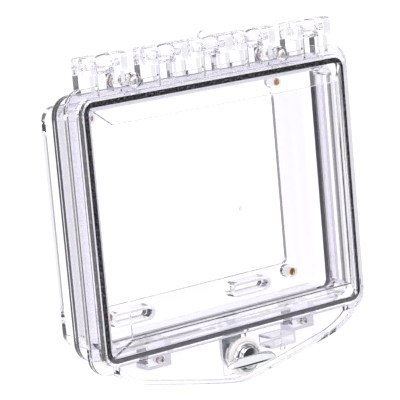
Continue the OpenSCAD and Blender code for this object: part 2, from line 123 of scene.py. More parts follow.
# %% Light paths
cycles = bpy.context.scene.cycles
cycles.max_bounces, cycles.glossy_bounces, cycles.transmission_bounces = 40, 24, 32
cycles.transparent_max_bounces = 16
print("bounces:", cycles.max_bounces)

# %% [markdown]
# ## Studio
# Clear plastic has almost no look of its own: it shows the room. The room here is white, with
# walls that are a little duller than the ceiling and the floor, and with one dark patch in front
# of the box, to the right of the camera. Light that has been mirrored inside a wall of the box
# ends there, and so an edge of the plastic shows as a grey or violet line. The same patch gives
# chrome its dark stripes. A world is the cheapest way to make such a room, because it needs no
# walls. How bright each part is, is written as a share of the picture's white.

# %% Studio: the room
WHITE = (1, 1, 1, 1)
DARK_PATCH, DARK_AFTER_MANY = 0.07, 0.35
WALLS, CEILING = 0.94, 1.2
THROUGH_PLASTIC, ON_DULL_FACES = 1.25, 0.8
MIRRORED_ONCE = 0.5

world = bpy.data.worlds.new("studio")
bpy.context.scene.world = world
world.use_nodes = True
tree = world.node_tree
tree.nodes.clear()
path = add(tree, "ShaderNodeLightPath")
direction = add(tree, "ShaderNodeTexCoord").outputs["Generated"]
facing = add(tree, "ShaderNodeVectorMath", {0: direction, 1: (0, -1, 0)}, operation="DOT_PRODUCT")
parts = add(tree, "ShaderNodeSeparateXYZ", {0: direction})
# the dark part of the room is a soft patch in front of the box, to the right of the camera
front = add(tree, "ShaderNodeMapRange", {
    "Value": facing.outputs["Value"], "From Min": 0.58, "From Max": 0.76},
    interpolation_type="SMOOTHSTEP")
aside = add(tree, "ShaderNodeMapRange", {
    "Value": parts.outputs["X"], "From Min": -0.1, "From Max": 0.45, "To Min": 0.2},
    interpolation_type="SMOOTHSTEP")
under = add(tree, "ShaderNodeMapRange", {
    "Value": parts.outputs["Z"], "From Min": 0.0, "From Max": 0.25, "To Min": 1.0, "To Max": 0.0},
    interpolation_type="SMOOTHSTEP")
above = add(tree, "ShaderNodeMapRange", {
    "Value": parts.outputs["Z"], "From Min": -0.6, "From Max": -0.3},
    interpolation_type="SMOOTHSTEP")
dark = front
for limit in (under, aside, above):
    dark = add(tree, "ShaderNodeMath", {0: dark.outputs[0], 1: limit.outputs[0]},
               operation="MULTIPLY")
# light that was mirrored many times has run through a lot of plastic, so its dark is only grey
deepest = add(tree, "ShaderNodeMapRange", {
    "Value": path.outputs["Glossy Depth"], "From Min": 2.0, "From Max": 4.0,
    "To Min": DARK_PATCH, "To Max": DARK_AFTER_MANY})
# the walls are what lies round the horizon
height = add(tree, "ShaderNodeMath", {0: parts.outputs["Z"]}, operation="ABSOLUTE")
walls = add(tree, "ShaderNodeMapRange", {
    "Value": height.outputs[0], "From Min": 0.25, "From Max": 0.5,
    "To Min": WALLS, "To Max": CEILING}, interpolation_type="SMOOTHSTEP")
shade = add(tree, "ShaderNodeMapRange", {
    "Value": dark.outputs[0], "To Min": walls.outputs[0], "To Max": deepest.outputs[0]})
mirrored = add(tree, "ShaderNodeMath", {0: path.outputs["Glossy Depth"], 1: MIRRORED_ONCE},
               operation="GREATER_THAN")
room = add(tree, "ShaderNodeBackground", {"Color": WHITE, "Strength": shade.outputs[0]})
# seen straight or through the plastic, the background is plain white
seen = add(tree, "ShaderNodeMapRange", {
    "Value": path.outputs["Is Camera Ray"], "To Min": THROUGH_PLASTIC, "To Max": 1.0})
white = add(tree, "ShaderNodeBackground", {"Color": WHITE, "Strength": seen.outputs[0]})
fill = add(tree, "ShaderNodeBackground", {"Color": WHITE, "Strength": ON_DULL_FACES})
plain = add(tree, "ShaderNodeMixShader", {
    0: path.outputs["Is Diffuse Ray"], 1: white.outputs[0], 2: fill.outputs[0]})
both = add(tree, "ShaderNodeMixShader", {
    0: mirrored.outputs[0], 1: plain.outputs[0], 2: room.outputs[0]})
add(tree, "ShaderNodeOutputWorld", {"Surface": both.outputs[0]})
print("world nodes:", len(tree.nodes))


# %% Studio: lamps
def soft_lamp(name, place, aim, width, height, power):
    """A soft box that shines from place towards aim."""
    bpy.ops.object.light_add(type="AREA", location=place)
    lamp = bpy.context.object
    lamp.name = name
    lamp.data.shape = "RECTANGLE"
    lamp.data.size, lamp.data.size_y, lamp.data.energy = width, height, power
    lamp.rotation_euler = (Vector(aim) - Vector(place)).to_track_quat("-Z", "Y").to_euler()
    return lamp


soft_lamp("lamp_above", (-0.3, -0.6, 1.3), (0, -0.03, 0), 1.0, 0.8, 9)
soft_lamp("lamp_left", (-1.5, -0.5, 0.5), (0, -0.03, 0), 0.5, 1.0, 5)
print("lamps: 2")

# %% [markdown]
# ## Floor
# The floor is a large white sheet below the box. Its paint takes the soft shadow, and a small
# glow that only the camera and clear plastic see brings the paint up to the white of the
# picture, without putting more light on dull faces of the box. Light that was mirrored in the
# plastic passes through the floor, so that it finds the same room below the horizon as above.

# %% Floor
FLOOR_SIZE, FLOOR_Z = 60, -0.5
GLOW_FOR_PLASTIC, GLOW_FOR_CAMERA = 0.5, 0.3

bpy.ops.mesh.primitive_plane_add(size=FLOOR_SIZE, location=(0, 0, FLOOR_Z))
floor = bpy.context.object
floor.name = "floor"
material, tree, out = new_material("white_floor")
path = add(tree, "ShaderNodeLightPath")
paint = add(tree, "ShaderNodeBsdfDiffuse", {"Color": linear("#F4F4F4")})
lift = add(tree, "ShaderNodeMapRange", {
    "Value": path.outputs["Is Camera Ray"], "To Min": GLOW_FOR_PLASTIC, "To Max": GLOW_FOR_CAMERA})
glow = add(tree, "ShaderNodeEmission", {"Color": WHITE, "Strength": lift.outputs[0]})
lit = add(tree, "ShaderNodeAddShader", {0: paint.outputs[0], 1: glow.outputs[0]})
sheet = add(tree, "ShaderNodeMixShader", {
    0: path.outputs["Is Diffuse Ray"], 1: lit.outputs[0], 2: paint.outputs[0]})
mirrored = add(tree, "ShaderNodeMath", {0: path.outputs["Glossy Depth"], 1: MIRRORED_ONCE},
               operation="GREATER_THAN")
through = add(tree, "ShaderNodeBsdfTransparent")
sheet = add(tree, "ShaderNodeMixShader", {
    0: mirrored.outputs[0], 1: sheet.outputs[0], 2: through.outputs[0]})
tree.links.new(sheet.outputs[0], out.inputs["Surface"])
floor.data.materials.append(material)
print("floor size in m:", round(floor.dimensions.x))

# %% [markdown]
# ## Clear polycarbonate
# The shells are moulded in clear polycarbonate. It bends light more than acrylic does (an index
# of 1.585), so its edges are livelier. Two more things give the eye its thickness: a faint
# violet tint that deepens along the path of the light, and a moulded skin that isn't quite
# flat. The tint is an absorption inside the solid, the skin is a bump of soft flow waves a few
# centimetres long, with fine wiping marks in the gloss.


# %% Clear polycarbonate
TINT, TINT_PER_METRE = "#C9C2F2", 0.7
WAVE_MM, WAVE_HEIGHT = 30, 0.00002
MOST_WIPED = 0.015


def polycarbonate(name):
    """A new clear material: it, its tree, output, place on the piece and glassy shader."""
    material, tree, out = new_material(name)
    place = add(tree, "ShaderNodeTexCoord").outputs["Object"]
    waves = add(tree, "ShaderNodeTexNoise", {
        "Vector": place, "Scale": 1000 / WAVE_MM, "Detail": 1.0})
    bump = add(tree, "ShaderNodeBump", {
        "Height": waves.outputs["Fac"], "Distance": WAVE_HEIGHT, "Strength": 0.3})
    stretch = add(tree, "ShaderNodeMapping", {"Vector": place, "Scale": (0.3, 1.0, 1.0)})
    wipes = add(tree, "ShaderNodeTexNoise", {
        "Vector": stretch.outputs[0], "Scale": 900.0, "Detail": 2.0})
    gloss = add(tree, "ShaderNodeMapRange", {
        "Value": wipes.outputs["Fac"], "From Min": 0.55, "From Max": 0.8,
        "To Min": 0.0, "To Max": MOST_WIPED})
    shader = add(tree, "ShaderNodeBsdfPrincipled", {
        "Base Color": linear("#FCFBFF"), "Roughness": gloss.outputs[0], "IOR": 1.585,
        "Transmission Weight": 1.0, "Normal": bump.outputs["Normal"]})
    volume = add(tree, "ShaderNodeVolumeAbsorption", {
        "Color": linear(TINT), "Density": TINT_PER_METRE})
    tree.links.new(volume.outputs[0], out.inputs["Volume"])
    return material, tree, out, place, shader


clear, tree, out, place, shader = polycarbonate("clear_polycarbonate")
tree.links.new(shader.outputs[0], out.inputs["Surface"])
print("clear polycarbonate:", len(tree.nodes), "nodes")

# %% [markdown]
# ### Painted shade on the joint between the two flanges
# The back box and the spacer frame meet in a pair of flanges. From the side the pair shows as a
# dark grey band, and here that band is painted shade. So these two shells get a second material,
# which paints a dull grey only on the joint's faces and only for light at a low angle. The painted
# shade is darkest near the top.

# %% Painted shade on the flanges
JOINT_BACK, JOINT_FRONT = 0.0180, 0.0244
# a face counts as the joint's when its normal points this much along the depth, and an angle
# as low when the face is turned this far from the ray
FLAT_ENOUGH, LOW_ANGLE = 0.9, 0.36

shade_painted, tree, out, place, shader = polycarbonate("shade_painted_polycarbonate")
split = add(tree, "ShaderNodeSeparateXYZ", {0: place})
within = add(tree, "ShaderNodeMath", {
    0: split.outputs["Y"], 1: -(JOINT_BACK + JOINT_FRONT) / 2,
    2: (JOINT_FRONT - JOINT_BACK) / 2}, operation="COMPARE")
shape = add(tree, "ShaderNodeNewGeometry")
lies = add(tree, "ShaderNodeSeparateXYZ", {0: shape.outputs["True Normal"]})
flat = add(tree, "ShaderNodeMath", {0: lies.outputs["Y"]}, operation="ABSOLUTE")
flat = add(tree, "ShaderNodeMath", {0: flat.outputs[0], 1: FLAT_ENOUGH}, operation="GREATER_THAN")
lean = add(tree, "ShaderNodeLayerWeight", {"Blend": 0.5})
low = add(tree, "ShaderNodeMath", {0: lean.outputs["Facing"], 1: LOW_ANGLE},
          operation="GREATER_THAN")
# where the shade is painted: the joint's faces, met by a ray at a low angle
painted_shade_mask = add(tree, "ShaderNodeMath", {0: within.outputs[0], 1: flat.outputs[0]},
           operation="MULTIPLY")
painted_shade_mask = add(tree, "ShaderNodeMath", {0: painted_shade_mask.outputs[0], 1: low.outputs[0]}, operation="MULTIPLY")
# the painted shade is a dull grey that darkens towards the top, with blotches
fade = add(tree, "ShaderNodeMapRange", {
    "Value": split.outputs["Z"], "From Min": -0.09, "From Max": 0.05})
blotch = add(tree, "ShaderNodeTexNoise", {"Vector": place, "Scale": 120.0, "Detail": 3.0})
fade = add(tree, "ShaderNodeMath", {0: blotch.outputs["Fac"], 1: 0.25, 2: fade.outputs[0]},
           operation="MULTIPLY_ADD")
grey = add(tree, "ShaderNodeMix", {
    "Factor": fade.outputs[0], "A": linear("#8E8E94"), "B": linear("#4E4E54")}, data_type="RGBA")
dull = add(tree, "ShaderNodeBsdfDiffuse", {"Color": grey.outputs["Result"]})
skin = add(tree, "ShaderNodeMixShader", {
    0: painted_shade_mask.outputs[0], 1: shader.outputs[0], 2: dull.outputs[0]})
tree.links.new(skin.outputs[0], out.inputs["Surface"])
print("cemented polycarbonate:", len(tree.nodes), "nodes")

# %% [markdown]
# ## The four clear shells
# The shells keep the shapes that they were constructed with. No moulded edge is truly sharp, so
# a small bevel rounds all edges, and with it each edge catches a thin highlight. Where one
# shell lies on another there is a film of air in the real thing. Two faces in exactly the same
# place would confuse the renderer, so each shell is pulled in by 0.04 mm.


# %% Dress the clear shells
def dress(name, material):
    """Gives a constructed node its finish."""
    node = nodes[name]
    node.data.materials.clear()
    node.data.materials.append(material)
    return node


def soften(node, edge_mm, segments=2, angle=35, air_gap_mm=0.0):
    """Rounds all sharp edges of a node, and pulls its skin in a little."""
    weld = node.modifiers.new("weld", "WELD")
    weld.merge_threshold = 0.00001
    if air_gap_mm:
        gap = node.modifiers.new("air_gap", "DISPLACE")
        gap.mid_level, gap.strength = 0, -air_gap_mm / 1000
    edge = node.modifiers.new("soft_edges", "BEVEL")
    edge.width, edge.segments = edge_mm / 1000, segments
    edge.limit_method, edge.angle_limit = "ANGLE", math.radians(angle)
    edge.harden_normals = True


AIR_GAP_MM = 0.04
# the back box and the spacer frame carry the painted shade on their flanges
for name, material, edge_mm in (("back_box", shade_painted, 0.2), ("spacer_frame", shade_painted, 0.2),
                                ("front_frame", clear, 0.4), ("cover_shell", clear, 1.2)):
    soften(dress(name, material), edge_mm, air_gap_mm=AIR_GAP_MM)
    print(name, "edges rounded by", edge_mm, "mm")

# %% [markdown]
# ## Modelling helpers
# Most small pieces of this box are turned on a lathe or could be: pins, screws, washers, the
# lock. They are all made in the same way, so it is written once. A plane is melted into one
# vertex, the vertex is drawn out along the profile, and the profile is spun round the axis.


# %% Modelling helpers
SAME_POINT = 0.000004
LOCK_Z = -107.5


def deselect():
    """Leaves edit mode, and leaves nothing selected."""
    if bpy.context.mode != "OBJECT":
        bpy.ops.object.mode_set(mode="OBJECT")
    bpy.ops.object.select_all(action="DESELECT")


def closed(angle=35):
    """Joins doubles, turns the faces outward and leaves edit mode with smooth shading."""
    bpy.ops.mesh.select_all(action="SELECT")
    bpy.ops.mesh.remove_doubles(threshold=SAME_POINT)
    bpy.ops.mesh.normals_make_consistent(inside=False)
    bpy.ops.object.mode_set(mode="OBJECT")
    bpy.ops.object.transform_apply(location=True, rotation=True, scale=True)
    bpy.ops.object.shade_smooth_by_angle(angle=math.radians(angle))
    return bpy.context.object


def at(x, depth, z):
    """A place in millimetres as a vector in metres."""
    return Vector((x, -depth, z)) / 1000


def one_vertex(name, place):
    """A new object of one vertex, in edit mode: a plane melted into its middle."""
    deselect()
    bpy.ops.mesh.primitive_plane_add(size=0.001, location=place)
    bpy.context.object.name = name
    bpy.ops.object.mode_set(mode="EDIT")
    bpy.ops.mesh.select_mode(type="VERT")
    bpy.ops.mesh.merge(type="CENTER")
    return bpy.context.object


def flat_faces(o):
    """Keeps broad faces flat between rounded edges."""
    weigh = o.modifiers.new("flat_faces", "WEIGHTED_NORMAL")
    weigh.keep_sharp = True
    deselect()
    bpy.context.view_layer.objects.active = o
    o.select_set(True)
    bpy.ops.object.modifier_apply(modifier=weigh.name)
    return o


def turned(name, profile, x, z, steps=48, along_x=None):
    """Spins (radius, depth) points in mm round the line through x and z towards the room.
    With along_x, the profile is (radius, x), and the line runs to the right at that depth."""
    if along_x is None:
        points = [at(x + r, d, z) for r, d in profile]
        centre, axis = at(x, 0, z), (0, 1, 0)
    else:
        points = [at(x + d, along_x, z + r) for r, d in profile]
        centre, axis = at(0, along_x, z), (1, 0, 0)
    one_vertex(name, points[0])
    for a, b in zip(points, points[1:]):
        bpy.ops.mesh.extrude_region_move(TRANSFORM_OT_translate={"value": b - a})
    bpy.ops.mesh.select_all(action="SELECT")
    bpy.ops.mesh.spin(steps=steps, angle=2 * math.pi, center=centre, axis=axis)
    return closed()


def piece(o, material, body, slot, *replaced):
    """Gives a new piece its finish, its body and the node that it stands for."""
    o.data.materials.clear()
    o.data.materials.append(material)
    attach(o, body)
    if replaced:
        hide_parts(*replaced)
    print(o.name, len(o.data.polygons), "faces")
    return o


def copy_to(o, name, offset):
    """A copy of a piece with its own mesh, moved by an offset in metres."""
    deselect()
    twin = o.copy()
    twin.data = o.data.copy()
    twin.name = name
    bpy.context.collection.objects.link(twin)
    twin.data.transform(Matrix.Translation(offset))
    return twin


def joined(*parts):
    """Joins pieces into the first of them."""
    deselect()
    for o in parts:
        o.select_set(True)
    bpy.context.view_layer.objects.active = parts[0]
    bpy.ops.object.join()
    return parts[0]


def carved(o, cutter):
    """Cuts one piece out of another, and removes the cutter."""
    cut = o.modifiers.new("cut", "BOOLEAN")
    cut.operation, cut.object, cut.solver = "DIFFERENCE", cutter, "EXACT"
    deselect()
    bpy.context.view_layer.objects.active = o
    o.select_set(True)
    bpy.ops.object.modifier_apply(modifier=cut.name)
    bpy.data.objects.remove(cutter)
    return o


def thread(name, x, z, back, front, root, crest, pitch, steps=24):
    """A threaded rod: a zigzag profile wound up by the Screw modifier, with filled ends."""
    o = one_vertex(name, at(x + root, front, z))
    for r, d in ((crest - root, 0.5), (0.0, 0.1), (root - crest, 0.4)):
        bpy.ops.mesh.extrude_region_move(TRANSFORM_OT_translate={"value": at(r, -d * pitch, 0)})
    bpy.ops.object.mode_set(mode="OBJECT")
    bpy.context.scene.cursor.location = at(x, 0, z)
    bpy.ops.object.origin_set(type="ORIGIN_CURSOR")
    wind = o.modifiers.new("wind", "SCREW")
    wind.axis, wind.angle, wind.screw_offset = "Y", 2 * math.pi, pitch / 1000
    wind.iterations = max(1, int((front - back) / pitch) - 1)
    wind.steps = wind.render_steps = steps
    bpy.ops.object.modifier_apply(modifier=wind.name)
    bpy.context.scene.cursor.location = (0, 0, 0)
    bpy.ops.object.mode_set(mode="EDIT")
    bpy.ops.mesh.select_all(action="SELECT")
    bpy.ops.mesh.remove_doubles(threshold=SAME_POINT)
    bpy.ops.mesh.fill_holes(sides=0)
    return closed(25)


print("the lock's axis in metres:", [round(v, 4) for v in at(0, 0, LOCK_Z)])

# %% [markdown]
# ## Gasket
# The gasket is a strip of black closed-cell foam, die-cut to a ring and lying in the cover's
# channel. Through the clear rim its skin looks like fine asphalt: dark grey with light pores.
# The ring starts as a plane. Its corners are rounded, an inset leaves the width of the strip,
# and the strip is drawn out to its thickness. The edges are crushed a little by the cover, so
# they are rounded, and the skin gets pores at their real size of about 0.7 mm.

# %% Foam rubber
foam, tree, out = new_material("closed_cell_foam")
place = add(tree, "ShaderNodeTexCoord").outputs["Object"]
pores = add(tree, "ShaderNodeTexVoronoi", {"Vector": place, "Scale": 1400.0})
grain = add(tree, "ShaderNodeTexNoise", {"Vector": place, "Scale": 620.0, "Detail": 2.0})
cloud = add(tree, "ShaderNodeTexNoise", {"Vector": place, "Scale": 60.0, "Detail": 2.0})
speck = add(tree, "ShaderNodeMapRange", {
    "Value": grain.outputs["Fac"], "From Min": 0.5, "From Max": 0.62})
colour = add(tree, "ShaderNodeMix", {
    "Factor": speck.outputs[0], "A": linear("#121214"), "B": linear("#8A8A8E")}, data_type="RGBA")
foam_tone_and_light = add(tree, "ShaderNodeMix", {
    "Factor": cloud.outputs["Fac"], "A": colour.outputs["Result"], "B": linear("#343436")},
    data_type="RGBA")
# painted light: the lower run is lifted towards pale grey, for the light that its upturned face
# catches from above
lower = add(tree, "ShaderNodeSeparateXYZ", {0: place}).outputs["Z"]
painted_light_lower_run = add(tree, "ShaderNodeMapRange", {
    "Value": lower, "From Min": -0.084, "From Max": -0.087, "To Max": 0.6})
foam_tone_and_light = add(tree, "ShaderNodeMix", {
    "Factor": painted_light_lower_run.outputs[0], "A": foam_tone_and_light.outputs["Result"], "B": linear("#A0A0A4")},
    data_type="RGBA")
height = add(tree, "ShaderNodeBump", {
    "Height": pores.outputs["Distance"], "Distance": 0.0002, "Strength": 0.7})
shader = add(tree, "ShaderNodeBsdfPrincipled", {
    "Base Color": foam_tone_and_light.outputs["Result"], "Roughness": 0.85, "Normal": height.outputs["Normal"]})
tree.links.new(shader.outputs[0], out.inputs["Surface"])
print("foam nodes:", len(tree.nodes))

# %% Gasket ring
GASKET_WIDTH, GASKET_CORNER, CRUSHED_EDGE = 0.004, 0.0085, 0.0005

low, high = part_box("cover_gasket")
deselect()
bpy.ops.mesh.primitive_plane_add(size=1, location=(0, high.y, 0), rotation=(math.radians(90), 0, 0))
ring = bpy.context.object
ring.name = "foam_gasket"
ring.scale = (high.x - low.x, high.z - low.z, 1)
bpy.ops.object.transform_apply(location=True, rotation=True, scale=True)
bpy.ops.object.mode_set(mode="EDIT")
bpy.ops.mesh.select_all(action="SELECT")
bpy.ops.mesh.bevel(offset=GASKET_CORNER, segments=8, affect="VERTICES")
bpy.ops.mesh.select_all(action="SELECT")
bpy.ops.mesh.inset(thickness=GASKET_WIDTH, depth=0)
bpy.ops.mesh.delete(type="FACE")
bpy.ops.mesh.select_all(action="SELECT")
bpy.ops.mesh.extrude_region_move(TRANSFORM_OT_translate={"value": (0, low.y - high.y, 0)})
bpy.ops.mesh.select_all(action="SELECT")
bpy.ops.mesh.normals_make_consistent(inside=False)
bpy.ops.mesh.select_all(action="DESELECT")
bpy.ops.mesh.select_mode(type="EDGE")
bpy.ops.mesh.edges_select_sharp(sharpness=math.radians(60))
bpy.ops.mesh.bevel(offset=CRUSHED_EDGE, segments=3, affect="EDGES")
ring = closed(50)
piece(ring, foam, "cover", "foam_rubber", "cover_gasket")

# %% [markdown]
# ## Hinge pins
# Each of the five hinges turns on a rod of the same clear plastic. A cut rod has chamfered ends
# with a shallow dimple, and these small rings are what shows in the knuckles from the side.

# %% Hinge pins
low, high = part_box("hinge_pin_3")
PIN_R, PIN_L = (high.z - low.z) * 500, (high.x - low.x) * 1000
pin_depth, pin_z = -(high.y + low.y) * 500, (high.z + low.z) * 500
half = PIN_L / 2
profile = [(0, -half + 0.4), (PIN_R - 1.2, -half), (PIN_R - 0.5, -half), (PIN_R, -half + 0.5),
           (PIN_R, half - 0.5), (PIN_R - 0.5, half), (PIN_R - 1.2, half), (0, half - 0.4)]
pin = turned("hinge_rod_3", profile, 0, pin_z, along_x=pin_depth)
for number in (1, 2, 4, 5):
    a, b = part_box(f"hinge_pin_{number}")
    twin = copy_to(pin, f"hinge_rod_{number}", Vector(((a.x + b.x) / 2, 0, 0)))
    piece(twin, clear, "base", "clear_plastic", f"hinge_pin_{number}")
piece(pin, clear, "base", "clear_plastic", "hinge_pin_3")

# %% [markdown]
# ## Metals
# Four metals are in the box, and each is told apart by its gloss. The lock is chrome plated:
# bright, nearly without colour, with a faint ripple from polishing. The screws are bright
# steel. The cam is stamped and zinc plated, so it has a frosted grain and mirrors the least. The
# inserts are brass, turned and knurled.


# %% Metals
def metal(name, hex_colour, hex_worn, smooth, dull, grain_mm, bump_mm, stretch=(1, 1, 1),
          mirror=1.0):
    """A metal whose gloss and colour drift between two values, with a grain of its own size.
    A frosted plating scatters a part of the light as paint does, so its mirror share is below 1."""
    material, tree, out = new_material(name)
    place = add(tree, "ShaderNodeTexCoord").outputs["Object"]
    laid = add(tree, "ShaderNodeMapping", {"Vector": place, "Scale": stretch})
    grain = add(tree, "ShaderNodeTexNoise", {
        "Vector": laid.outputs[0], "Scale": 1000 / grain_mm, "Detail": 4.0})
    cloud = add(tree, "ShaderNodeTexNoise", {"Vector": place, "Scale": 260.0, "Detail": 2.0})
    colour = add(tree, "ShaderNodeMix", {
        "Factor": cloud.outputs["Fac"], "A": linear(hex_colour), "B": linear(hex_worn)},
        data_type="RGBA")
    rough = add(tree, "ShaderNodeMapRange", {
        "Value": grain.outputs["Fac"], "From Min": 0.3, "From Max": 0.75,
        "To Min": smooth, "To Max": dull})
    bump = add(tree, "ShaderNodeBump", {
        "Height": grain.outputs["Fac"], "Distance": bump_mm / 1000, "Strength": 0.4})
    shader = add(tree, "ShaderNodeBsdfPrincipled", {
        "Base Color": colour.outputs["Result"], "Metallic": mirror,
        "Roughness": rough.outputs[0], "Normal": bump.outputs["Normal"]})
    tree.links.new(shader.outputs[0], out.inputs["Surface"])
    return material


# polished plating: sharp reflections with a slow ripple
chrome = metal("polished_chrome_plate", "#E4E5E8", "#D8D9DD", 0.04, 0.10, 3.0, 0.004)
# bright screws: a little warmer and softer than chrome
steel = metal("bright_steel", "#F8F7F4", "#E6E4E0", 0.18, 0.34, 0.6, 0.01, mirror=0.85)
# stamped plate: frosted zinc, with the grain drawn along the plate
zinc = metal("zinc_plated_steel", "#F6FAFB", "#E4EAED", 0.25, 0.42, 0.5, 0.012,
             stretch=(1, 1, 0.25), mirror=0.7)
# turned brass: yellow, with dull spots from handling
brass = metal("turned_brass", "#D9B06A", "#C29048", 0.18, 0.36, 0.5, 0.01)
print("metals:", chrome.name, steel.name, zinc.name, brass.name)

# %% [markdown]
# ## Frame screws
# Four pan head machine screws hold the frame. The head is turned, then two wedge-shaped blades
# are cut out of it crosswise to make the driver's recess, and the shank is a real wound
# thread. One screw is made, and the other three are copies of it.

# %% Frame screws
low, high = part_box("frame_screw_tl")
sx, sz = (low.x + high.x) * 500, (low.z + high.z) * 500
head, tip, under_head = -low.y * 1000, -high.y * 1000, 42.2
profile = [(0, head), (1.1, head - 0.04), (2.0, head - 0.25), (2.6, head - 0.7),
           (2.9, head - 1.3), (3.0, under_head + 0.3), (2.9, under_head), (1.5, under_head),
           (0, under_head)]
screw = turned("pan_head_screw_tl", profile, sx, sz)
for turn in (0, 90):
    deselect()
    bpy.ops.mesh.primitive_cube_add(size=1, location=at(sx, head - 0.4, sz))
    blade = bpy.context.object
    blade.scale = (0.0034, 0.0020, 0.00075)
    bpy.ops.object.transform_apply(location=True, rotation=True, scale=True)
    bpy.ops.object.mode_set(mode="EDIT")
    bpy.ops.mesh.select_all(action="DESELECT")
    bpy.ops.object.mode_set(mode="OBJECT")
    for face in blade.data.polygons:
        face.select = face.normal.y > 0.9
    bpy.ops.object.mode_set(mode="EDIT")
    bpy.ops.transform.resize(value=(0.45, 1, 0.7))
    bpy.ops.mesh.select_all(action="SELECT")
    bpy.ops.transform.rotate(value=math.radians(turn), orient_axis="Y",
                             center_override=at(sx, head, sz))
    bpy.ops.object.mode_set(mode="OBJECT")
    carved(screw, blade)
screw = joined(screw, thread("shank", sx, sz, tip, under_head, 1.25, 1.6, 0.8))
bpy.ops.object.shade_smooth_by_angle(angle=math.radians(35))
for corner in ("tr", "bl", "br"):
    a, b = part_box(f"frame_screw_{corner}")
    twin = copy_to(screw, f"pan_head_screw_{corner}", (a + b - low - high) / 2)
    piece(twin, steel, "base", "screw_steel", f"frame_screw_{corner}")
piece(screw, steel, "base", "screw_steel", "frame_screw_tl")

# %% [markdown]
# ## Brass inserts
# Threaded brass inserts are moulded into the clear bosses, so the plastic touches the metal all
# round and the brass shines right through it. In the model they therefore stand 0.06 mm into
# the plastic. An insert is a turned bush with two knurled bands and a groove between them. For
# the knurl, every second column of the bands is drawn in towards the axis.


# %% Brass inserts
INTO_PLASTIC_MM = 0.06
COLUMNS, DRAWN_IN = 64, 0.93


def knurled_insert(name, node):
    """A brass bush with two knurled bands, in the place of a constructed insert."""
    a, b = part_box(node)
    x, z = (a.x + b.x) * 500, (a.z + b.z) * 500
    back, front = -b.y * 1000, -a.y * 1000
    r = (b.x - a.x) * 500 + INTO_PLASTIC_MM
    profile = [(1.45, back), (r - 0.4, back), (r, back + 0.4), (r, back + 2.7),
               (r - 0.5, back + 3.0), (r - 0.5, front - 3.0), (r, front - 2.7), (r, front - 0.4),
               (r - 0.4, front), (1.9, front), (1.45, front - 0.5), (1.45, back)]
    bush = turned(name, profile, x, z, steps=COLUMNS)
    for vertex in bush.data.vertices:
        turn = math.atan2(vertex.co.z - z / 1000, vertex.co.x - x / 1000)
        reach = math.hypot(vertex.co.z - z / 1000, vertex.co.x - x / 1000)
        column = round(turn * COLUMNS / (2 * math.pi))
        vertex.select = reach > (r - 0.05) / 1000 and column % 2 == 0
    bush.data.polygons.foreach_set("select", [False] * len(bush.data.polygons))
    bush.data.edges.foreach_set("select", [False] * len(bush.data.edges))
    deselect()
    bpy.context.view_layer.objects.active = bush
    bush.select_set(True)
    bpy.ops.object.mode_set(mode="EDIT")
    bpy.ops.mesh.select_mode(type="VERT")
    bpy.ops.transform.resize(value=(DRAWN_IN, 1, DRAWN_IN),
                             center_override=at(x, (back + front) / 2, z))
    bpy.ops.object.mode_set(mode="OBJECT")
    return bush


for place_name in ("box_insert", "frame_insert"):
    first = knurled_insert(f"knurled_{place_name}_tl", f"{place_name}_tl")
    low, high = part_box(f"{place_name}_tl")
    for corner in ("tr", "bl", "br"):
        a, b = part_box(f"{place_name}_{corner}")
        twin = copy_to(first, f"knurled_{place_name}_{corner}", (a + b - low - high) / 2)
        piece(twin, brass, "base", "brass", f"{place_name}_{corner}")
    piece(first, brass, "base", "brass", f"{place_name}_tl")

# %% [markdown]
# ## Nylon washer
# Under the lock's head lies a washer of natural nylon, cream white. It has rounded rims and the
# fine rings of its moulding tool.

# %% Nylon
RING_PITCH = 0.0006

nylon, tree, out = new_material("natural_nylon")
place = add(tree, "ShaderNodeTexCoord").outputs["Object"]
middle = add(tree, "ShaderNodeVectorMath", {0: place, 1: -at(0, 0, LOCK_Z)}, operation="ADD")
flat = add(tree, "ShaderNodeMapping", {"Vector": middle.outputs[0], "Scale": (1, 0, 1)})
reach = add(tree, "ShaderNodeVectorMath", {0: flat.outputs[0]}, operation="LENGTH")
rings = add(tree, "ShaderNodeMath", {0: reach.outputs["Value"], 1: 2 * math.pi / RING_PITCH},
            operation="MULTIPLY")
rings = add(tree, "ShaderNodeMath", {0: rings.outputs[0]}, operation="SINE")
cloud = add(tree, "ShaderNodeTexNoise", {"Vector": place, "Scale": 220.0, "Detail": 3.0})
colour = add(tree, "ShaderNodeMix", {
    "Factor": cloud.outputs["Fac"], "A": linear("#FFFCFA"), "B": linear("#FBF5EF")},
    data_type="RGBA")
bump = add(tree, "ShaderNodeBump", {
    "Height": rings.outputs[0], "Distance": 0.00001, "Strength": 0.5})
rough = add(tree, "ShaderNodeMapRange", {
    "Value": cloud.outputs["Fac"], "To Min": 0.3, "To Max": 0.5})
shader = add(tree, "ShaderNodeBsdfPrincipled", {
    "Base Color": colour.outputs["Result"], "Roughness": rough.outputs[0],
    "Normal": bump.outputs["Normal"]})
tree.links.new(shader.outputs[0], out.inputs["Surface"])
print("nylon nodes:", len(tree.nodes))

# %% Washer
profile = [(8.1, 52.6), (8.3, 52.5), (13.5, 52.5), (13.8, 52.8), (13.8, 54.1), (13.4, 54.5),
           (12.2, 54.5), (8.1, 54.5), (8.1, 52.6)]
washer = turned("nylon_washer", profile, 0, LOCK_Z, steps=64)
piece(washer, nylon, "cover", "nylon", "lock_washer")

# %% [markdown]
# ## Lock body and nut
# The body is a plated casting: a flat head with a dish in it, on a threaded barrel that goes
# through the cover. A hexagon nut behind the front holds it. The head and the dish are one
# turned profile with a rounded lip, and the barrel is a wound thread like the screws', only
# coarser.

